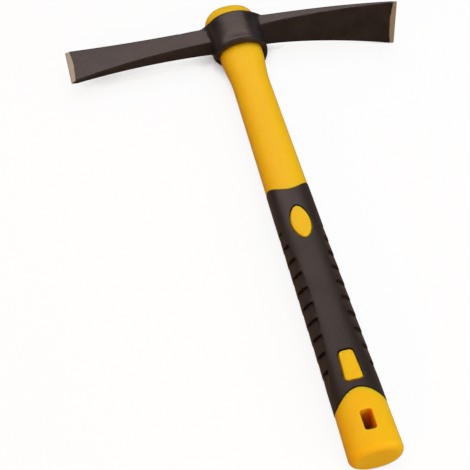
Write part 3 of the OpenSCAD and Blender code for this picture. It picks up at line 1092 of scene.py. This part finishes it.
@dataclass
class Head:
    """Forged head: a collar round the eye, a cutter towards -X and an adze towards +X. Sizes in mm."""

    handle: HandleForm
    side_wall_low: float = 3.3
    side_wall_high: float = 4.5
    face_wall_low: float = 4.8
    face_wall_high: float = 5.2
    rim_round: float = 1.6
    lip_h: float = 1.2
    lip_in: float = 0.4
    lip_round: float = 0.6
    lip_rise: float = 7.5
    lip_rise_l: float = 12.0
    lip_dip: float = 1.3
    eye_round: float = 0.3
    bead_proud: float = 0.8
    bead_rise: float = 0.5
    bead_h: float = 1.0
    groove_depth: float = 0.8
    groove_rise: float = 2.4
    groove_h: float = 4.0
    bead_half_l: float = 24.0
    bead_fade: float = 18.0
    mouth_flare: float = 0.3
    mouth_depth: float = 3.0
    cutter_reach: float = 126.0
    cutter_edge: float = 31.8
    cutter_root_h: float = 15.4
    cutter_root_t: float = 13.2
    cutter_bevel_t: float = 3.8
    cutter_lift: float = 1.3
    cutter_sink: float = 0.7
    cutter_bow: float = 0.8
    cutter_power: float = 2.0
    adze_reach: float = 118.6
    adze_edge: float = 42.2
    adze_root_w: float = 21.8
    adze_root_t: float = 10.4
    adze_rise: float = 0.5
    adze_bevel_t: float = 2.6
    adze_droop: float = 19.5
    adze_power: float = 1.2
    adze_thin_power: float = 0.75
    adze_straight: float = 0.45
    bevel_l: float = 4.0
    edge_flat: float = 0.7
    arm_drop: float = 8.1
    corner_round: float = 0.8
    corner_share: float = 0.8
    notch_round: float = 1.6
    face_fillet: float = 2.6
    back_fillet: float = 6.0
    back_rise: float = 6.0
    back_start: float = 0.3

    @property
    def arm_y(self) -> float:
        """Height of the arms' middle lines at the collar."""
        return self.handle.collar_high - self.arm_drop

    @property
    def root_x(self) -> float:
        """Half width of the collar at the height of the arms."""
        rise = (self.arm_y - self.handle.collar_low) / (self.handle.collar_high - self.handle.collar_low)
        wall = lerp(self.side_wall_low, self.side_wall_high, rise)
        return float(self.handle.half_w(np.array(self.arm_y)) + self.handle.eye_gap + wall)

    def lip_low(self, x: Array, z: Array) -> Array:
        """Finds the collar's lower end, low on its faces and drawn up behind the cutter.

        Args:
            x, z: Places across and through the collar, in mm.

        Returns:
            Its heights along the handle.
        """
        behind = smooth(-x / self.lip_rise_l) * smooth((self.lip_rise_l / 3 - z) / self.lip_rise_l)
        facing = smooth((np.abs(z) - self.lip_rise_l / 2) / (self.lip_rise_l / 2))
        return self.handle.collar_low + self.lip_rise * behind - self.lip_dip * facing * (1 - behind)

    def bead(self, x: Array, rise: Array) -> Array:
        """Returns how proud the rolled bead, and the groove above it, stand on the collar's faces.

        Args:
            x: Places across the collar.
            rise: Heights above the lower end.

        Returns:
            Heights over the plain wall, below 0 in the groove.
        """
        roll = self.bead_proud * np.exp(-((rise - self.bead_rise) / self.bead_h) ** 2)
        groove = self.groove_depth * np.exp(-((rise - self.groove_rise) / self.groove_h) ** 2)
        return (roll - groove) * smooth((self.bead_half_l - np.abs(x)) / self.bead_fade)

    def collar(self, x: Array, y: Array, z: Array) -> Array:
        """Distance from the collar before its eye is cut.

        Args:
            x, y, z: Places across, along and through the tool, in mm.

        Returns:
            Signed distances, below 0 inside.
        """
        handle = self.handle
        low = self.lip_low(x, z)
        rise = np.clip((y - handle.collar_low) / (handle.collar_high - handle.collar_low), 0, 1)
        drop = np.clip(1 - (y - low) / self.lip_h, 0, 1)
        lip = self.lip_in * (1 - np.sqrt(1 - drop ** 2))
        side = lerp(self.side_wall_low, self.side_wall_high, rise) - lip
        face = lerp(self.face_wall_low, self.face_wall_high, rise) - lip + self.bead(x, y - low)
        half = handle.half_w(y) + handle.eye_gap
        half_t = handle.half_w(y) * handle.thickness_share + handle.eye_gap
        tube = oval_distance(x, z, half + side, half_t + face, handle.squareness)
        tube = round_meet(tube, y - handle.collar_high, self.rim_round)
        return round_meet(tube, low - y, self.lip_round)

    def eye(self, x: Array, y: Array, z: Array) -> Array:
        """Returns the signed distance from the eye, which widens at its mouth."""
        flare = self.mouth_flare * np.clip(1 - (y - self.handle.collar_low) / self.mouth_depth, 0, 1)
        return self.handle.distance(x, y, z, self.handle.eye_gap + flare)

    def bevel_t(self, reach_x: Array, reach: float, thickness: Array, bevel_t: float) -> Array:
        """Returns an arm's thickness, ground down to its edge over the bevel."""
        bevel = np.clip((reach_x - reach + self.bevel_l) / self.bevel_l, 0, 1)
        return np.where(bevel > 0, lerp(bevel_t, self.edge_flat, bevel), thickness)

    def cutter(self, x: Array, y: Array, z: Array) -> Array:
        """Distance from the cutter's arm.

        Args:
            x, y, z: Places across, along and through the tool, in mm.

        Returns:
            Signed distances, below 0 inside.
        """
        out = -x
        share = np.clip((out - self.root_x) / (self.cutter_reach - self.root_x), 0, 1)
        body = np.clip((out - self.root_x) / (self.cutter_reach - self.bevel_l - self.root_x), 0, 1)
        half_h = lerp(self.cutter_root_h, self.cutter_edge, share ** self.cutter_power) / 2
        thick = lerp(self.cutter_root_t, self.cutter_bevel_t, body)
        half_t = self.bevel_t(out, self.cutter_reach, thick, self.cutter_bevel_t) / 2
        corner = np.minimum(self.corner_round, self.corner_share * half_t)
        bow = self.cutter_bow * 4 * share * (1 - share)
        middle = self.arm_y + lerp(-self.cutter_sink, self.cutter_lift, share) + bow
        arm = bar_distance(y - middle, z, half_h, half_t, corner)
        return np.maximum(np.maximum(arm, out - self.cutter_reach), -out)

    def adze(self, x: Array, y: Array, z: Array) -> Array:
        """Distance from the adze's arm.

        Args:
            x, y, z: Places across, along and through the tool, in mm.

        Returns:
            Signed distances, below 0 inside.
        """
        share = np.clip((x - self.root_x) / (self.adze_reach - self.root_x), 0, 1)
        body = np.clip((x - self.root_x) / (self.adze_reach - self.bevel_l - self.root_x), 0, 1)
        half_w = lerp(self.adze_root_w, self.adze_edge, share ** self.adze_power) / 2
        thick = lerp(self.adze_root_t, self.adze_bevel_t, body ** self.adze_thin_power)
        half_t = self.bevel_t(x, self.adze_reach, thick, self.adze_bevel_t) / 2
        corner = np.minimum(self.corner_round, self.corner_share * half_t)
        droop = self.adze_droop * lerp(share ** 2, share, self.adze_straight)
        middle = self.arm_y + self.adze_rise * (1 - share) - droop
        arm = bar_distance(y - middle, z, half_t, half_w, corner)
        return np.maximum(np.maximum(arm, x - self.adze_reach), -x)

    def distance(self, x: Array, y: Array, z: Array) -> Array:
        """Distance from the head.

        Args:
            x, y, z: Places across, along and through the tool, in mm.

        Returns:
            Signed distances, below 0 inside.
        """
        arms = np.minimum(self.cutter(x, y, z), self.adze(x, y, z))
        above_notch = smooth((y - self.arm_y + self.cutter_root_h / 2) / self.back_rise)
        at_back = smooth((y - self.arm_y) / self.back_rise - self.back_start)
        fillet = lerp(self.notch_round, lerp(self.face_fillet, self.back_fillet, at_back), above_notch)
        top = round_meet(arms, y - self.handle.collar_high, self.corner_round)
        # Only the roots of the arms are cut level with the upper end of the collar.
        arms = np.where(np.abs(x) < 2 * self.root_x, top, arms)
        body = round_join(self.collar(x, y, z), arms, fillet)
        return round_meet(body, -self.eye(x, y, z), self.eye_round)

    def build(self, material: Material) -> bpy.types.Object:
        """Builds the head and dresses it.

        Args:
            material: Its finish.

        Returns:
            The piece.
        """
        low = (-self.cutter_reach, self.handle.collar_low - self.lip_dip, -self.adze_edge / 2)
        high = (self.adze_reach, self.arm_y + self.cutter_lift + self.cutter_edge / 2, self.adze_edge / 2)
        net = SurfaceNet(self.distance, low, high)
        return add_piece("forged_head", net, material, "head")


@dataclass(frozen=True)
class Softbox:
    """Soft rectangular lamp that faces the middle of the tool. Sizes in mm.

    Attributes:
        name: Name of the lamp.
        place: Its middle, from the point that it faces.
        size: Its width and height.
        power: Its power, in watts.
        use: What it is set for.
        colour: Colour of its light.
    """

    name: str
    place: Triple
    size: Pair
    power: float
    use: LampUse
    colour: str

    def build(self, pivot: Triple) -> None:
        """Adds the lamp.

        Args:
            pivot: Point that it faces.
        """
        lamp = bpy.data.lights.new(self.name, "AREA")
        lamp.shape = "RECTANGLE"
        lamp.size, lamp.size_y = (side * MM for side in self.size)
        lamp.energy = self.power
        lamp.color = linear(self.colour)[:3]
        box = bpy.data.objects.new(self.name, lamp)
        box.location = (Vector(pivot) + Vector(self.place)) * MM
        box.rotation_euler = Vector(self.place).to_track_quat("Z", "Y").to_euler()
        box.visible_glossy = self.use is not LampUse.FILL
        box.visible_diffuse = self.use is not LampUse.SHINE
        bpy.context.collection.objects.link(box)


@dataclass
class Studio:
    """Camera at the photograph's angle, soft lights and a pale floor. Sizes in mm."""

    # The far lamp lies where the flat faces of the head mirror it to the camera, and only shines.
    # The overhead and left lamps fill the shaded sides without a shine of their own.
    lamps: tuple[Softbox, ...] = (
        Softbox("overhead_softbox", (50.0, 350.0, 1040.0), (1000.0, 1000.0), 7.4, LampUse.FILL, "#FFFFF6"),
        Softbox("far_softbox", (-100.0, 794.0, 882.0), (1700.0, 500.0), 8.8, LampUse.SHINE, "#FFFFFF"),
        Softbox("front_softbox", (500.0, -820.0, 430.0), (1000.0, 600.0), 5.6, LampUse.ALL, "#FFF0DE"),
        Softbox("left_softbox", (-700.0, -480.0, 420.0), (800.0, 600.0), 2.6, LampUse.FILL, "#FFAC58"),
    )
    pivot: Triple = (0.0, 190.5, 0.0)
    azimuth: float = -9.88
    elevation: float = 54.0
    roll: float = -4.41
    slide: Pair = (38.618, 18.448)
    distance: float = 833.413
    focal_px: float = 1245.831
    frame_px: int = 470
    sensor: float = 36.0
    floor_size: float = 12000.0
    floor_pale: str = "#CDD8F2"
    floor_glow: float = 1.06
    floor_shade: float = 0.16
    floor_bounce: str = "#8C7660"
    surround: str = "#FFCC8E"
    fill_strength: float = 0.4
    gloss_share: float = 0.12
    # Reach and range of the painted shadow under the tool.
    painted_shadow_reach_mm: float = 30.0
    painted_shadow_range: Pair = (0.2, 0.32)
    painted_shadow_samples: int = 8
    butt_contact: Triple = (0.0, 8.0, -13.45)
    collar_contact: Triple = (-6.0, 352.0, -18.3)
    adze_contact: Triple = (118.6, 337.0, -21.15)

    def build_camera(self) -> None:
        """Sets the camera that sees the tool as the photograph does."""
        turn, rise, roll = (math.radians(a) for a in (self.azimuth, self.elevation, self.roll))
        back = Vector((math.sin(turn) * math.cos(rise), -math.cos(turn) * math.cos(rise), math.sin(rise)))
        level = Vector((math.cos(turn), math.sin(turn), 0))
        upright = back.cross(level)
        right = math.cos(roll) * level + math.sin(roll) * upright
        up = math.cos(roll) * upright - math.sin(roll) * level
        place = Vector(self.pivot) - self.slide[0] * right - self.slide[1] * up + self.distance * back
        camera = bpy.data.objects.new("photo_camera", bpy.data.cameras.new("photo_camera"))
        camera.data.sensor_width = self.sensor
        camera.data.lens = self.focal_px / self.frame_px * self.sensor
        facing = Matrix((right, up, back)).transposed().to_4x4()
        camera.matrix_world = Matrix.Translation(place * MM) @ facing
        bpy.context.collection.objects.link(camera)
        bpy.context.scene.camera = camera

    def build_lights(self) -> None:
        """Adds the lamps and a dim even surround that the camera sees as white."""
        for lamp in self.lamps:
            lamp.build(self.pivot)
        world = bpy.data.worlds.new("studio_surround")
        bpy.context.scene.world = world
        world.use_nodes = True
        tree = world.node_tree
        tree.nodes.clear()
        seen = self.seen_rays(tree)
        glossy = add_node(tree, "LightPath", {})["Is Glossy Ray"]
        # The warm surround lights the tool evenly, and no gloss mirrors it.
        fill = add_node(
            tree, "Math", {0: glossy, 1: -self.fill_strength, 2: self.fill_strength},
            operation="MULTIPLY_ADD",
        )[0]
        dim = add_node(tree, "Background", {"Color": linear(self.surround), "Strength": fill})
        white = add_node(tree, "Background", {"Color": linear("#FFFFFF"), "Strength": 1.0})
        mixed = add_node(tree, "MixShader", {0: seen, 1: dim[0], 2: white[0]})
        add_node(tree, "OutputWorld", {"Surface": mixed[0]})

    def seen_rays(self, tree: Tree) -> Socket:
        """Masks the rays that see the white background, straight or in a gloss.

        Args:
            tree: Node tree that gets the nodes.

        Returns:
            The mask, with a share for glossy rays.
        """
        rays = add_node(tree, "LightPath", {})
        straight = add_node(
            tree, "Math", {0: rays["Is Camera Ray"], 1: rays["Is Transmission Ray"]}, operation="MAXIMUM",
        )[0]
        gloss = add_node(
            tree, "Math", {0: rays["Is Glossy Ray"], 1: self.gloss_share}, operation="MULTIPLY",
        )[0]
        return add_node(tree, "Math", {0: straight, 1: gloss}, operation="MAXIMUM")[0]

    def build_floor(self) -> None:
        """Adds the pale floor that the butt, the collar and the adze's corner rest on."""
        contacts = (self.butt_contact, self.collar_contact, self.adze_contact)
        butt, collar, adze = (Vector(contact) for contact in contacts)
        up = (adze - butt).cross(collar - butt).normalized()
        mesh = bpy.data.meshes.new("pale_floor")
        half = self.floor_size / 2 * MM
        corners = [(-half, -half, 0), (half, -half, 0), (half, half, 0), (-half, half, 0)]
        mesh.from_pydata(corners, [], [(0, 1, 2, 3)])
        floor = bpy.data.objects.new("pale_floor", mesh)
        floor.matrix_world = Matrix.Translation(butt * MM) @ up.to_track_quat("Z", "Y").to_matrix().to_4x4()
        bpy.context.collection.objects.link(floor)
        mesh.materials.append(self.floor_material())

    def floor_material(self) -> Material:
        """Makes matt painted board: pale where it is seen, with a soft shadow from the lamps and a painted
        shadow where the tool covers it closely.

        Returns:
            The material.
        """
        material = new_material("matt_painted_board")
        tree = material.node_tree
        # Painted shadow: where ambient occlusion finds the tool close over the board, its glow is turned
        # off and the darker bounce board shows.
        open_share = add_node(
            tree, "AmbientOcclusion", {"Distance": self.painted_shadow_reach_mm * MM}, samples=self.painted_shadow_samples,
        )["AO"]
        outside_painted_shadow = add_node(tree, "MapRange", {"Value": open_share, **span("From", self.painted_shadow_range)})[0]
        seen = add_node(tree, "Math", {0: self.seen_rays(tree), 1: outside_painted_shadow}, operation="MULTIPLY")[0]
        bounce = add_node(tree, "BsdfDiffuse", {"Color": linear(self.floor_bounce)})
        pale = add_node(tree, "BsdfDiffuse", {"Color": linear(self.floor_pale)})
        glow = add_node(tree, "Emission", {"Color": linear("#FFFFFF"), "Strength": self.floor_glow})
        board = add_node(tree, "MixShader", {0: self.floor_shade, 1: glow[0], 2: pale[0]})
        mixed = add_node(tree, "MixShader", {0: seen, 1: bounce[0], 2: board[0]})
        add_node(tree, "OutputMaterial", {"Surface": mixed[0]})
        return material

    def build(self) -> None:
        """Builds the camera, the lights and the floor."""
        self.build_camera()
        self.build_lights()
        self.build_floor()
        bpy.context.scene.view_settings.view_transform = "Standard"


def dress_hidden_nodes() -> None:
    """Gives the core and the resin, which stay as CAD solids, their own finishes."""
    finishes = {
        "fibreglass_core": CastResinFinish("pultruded_fibreglass", "#D8CFB0", "#C2B48C"),
        "bond_sleeve": CastResinFinish("cast_epoxy_resin", "#8A6A3A", "#6E5128"),
    }
    for name, finish in finishes.items():
        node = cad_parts[name]
        node.data.materials.clear()
        node.data.materials.append(finish.material())
        LOG.info("%s: dressed", name)


def main() -> None:
    """Builds the tool and its studio."""
    logging.basicConfig(level=logging.INFO)
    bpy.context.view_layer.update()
    Studio().build()
    yellow = MouldedPlasticFinish().material()
    handle = HandleForm()
    grip = Grip(handle)
    Head(handle).build(ForgedPaintFinish().material())
    Jacket(handle, grip).build(yellow)
    grip.build(MouldedRubberFinish().material())
    EyeCap(handle).build(yellow)
    dress_hidden_nodes()


if __name__ == "__main__":
    main()
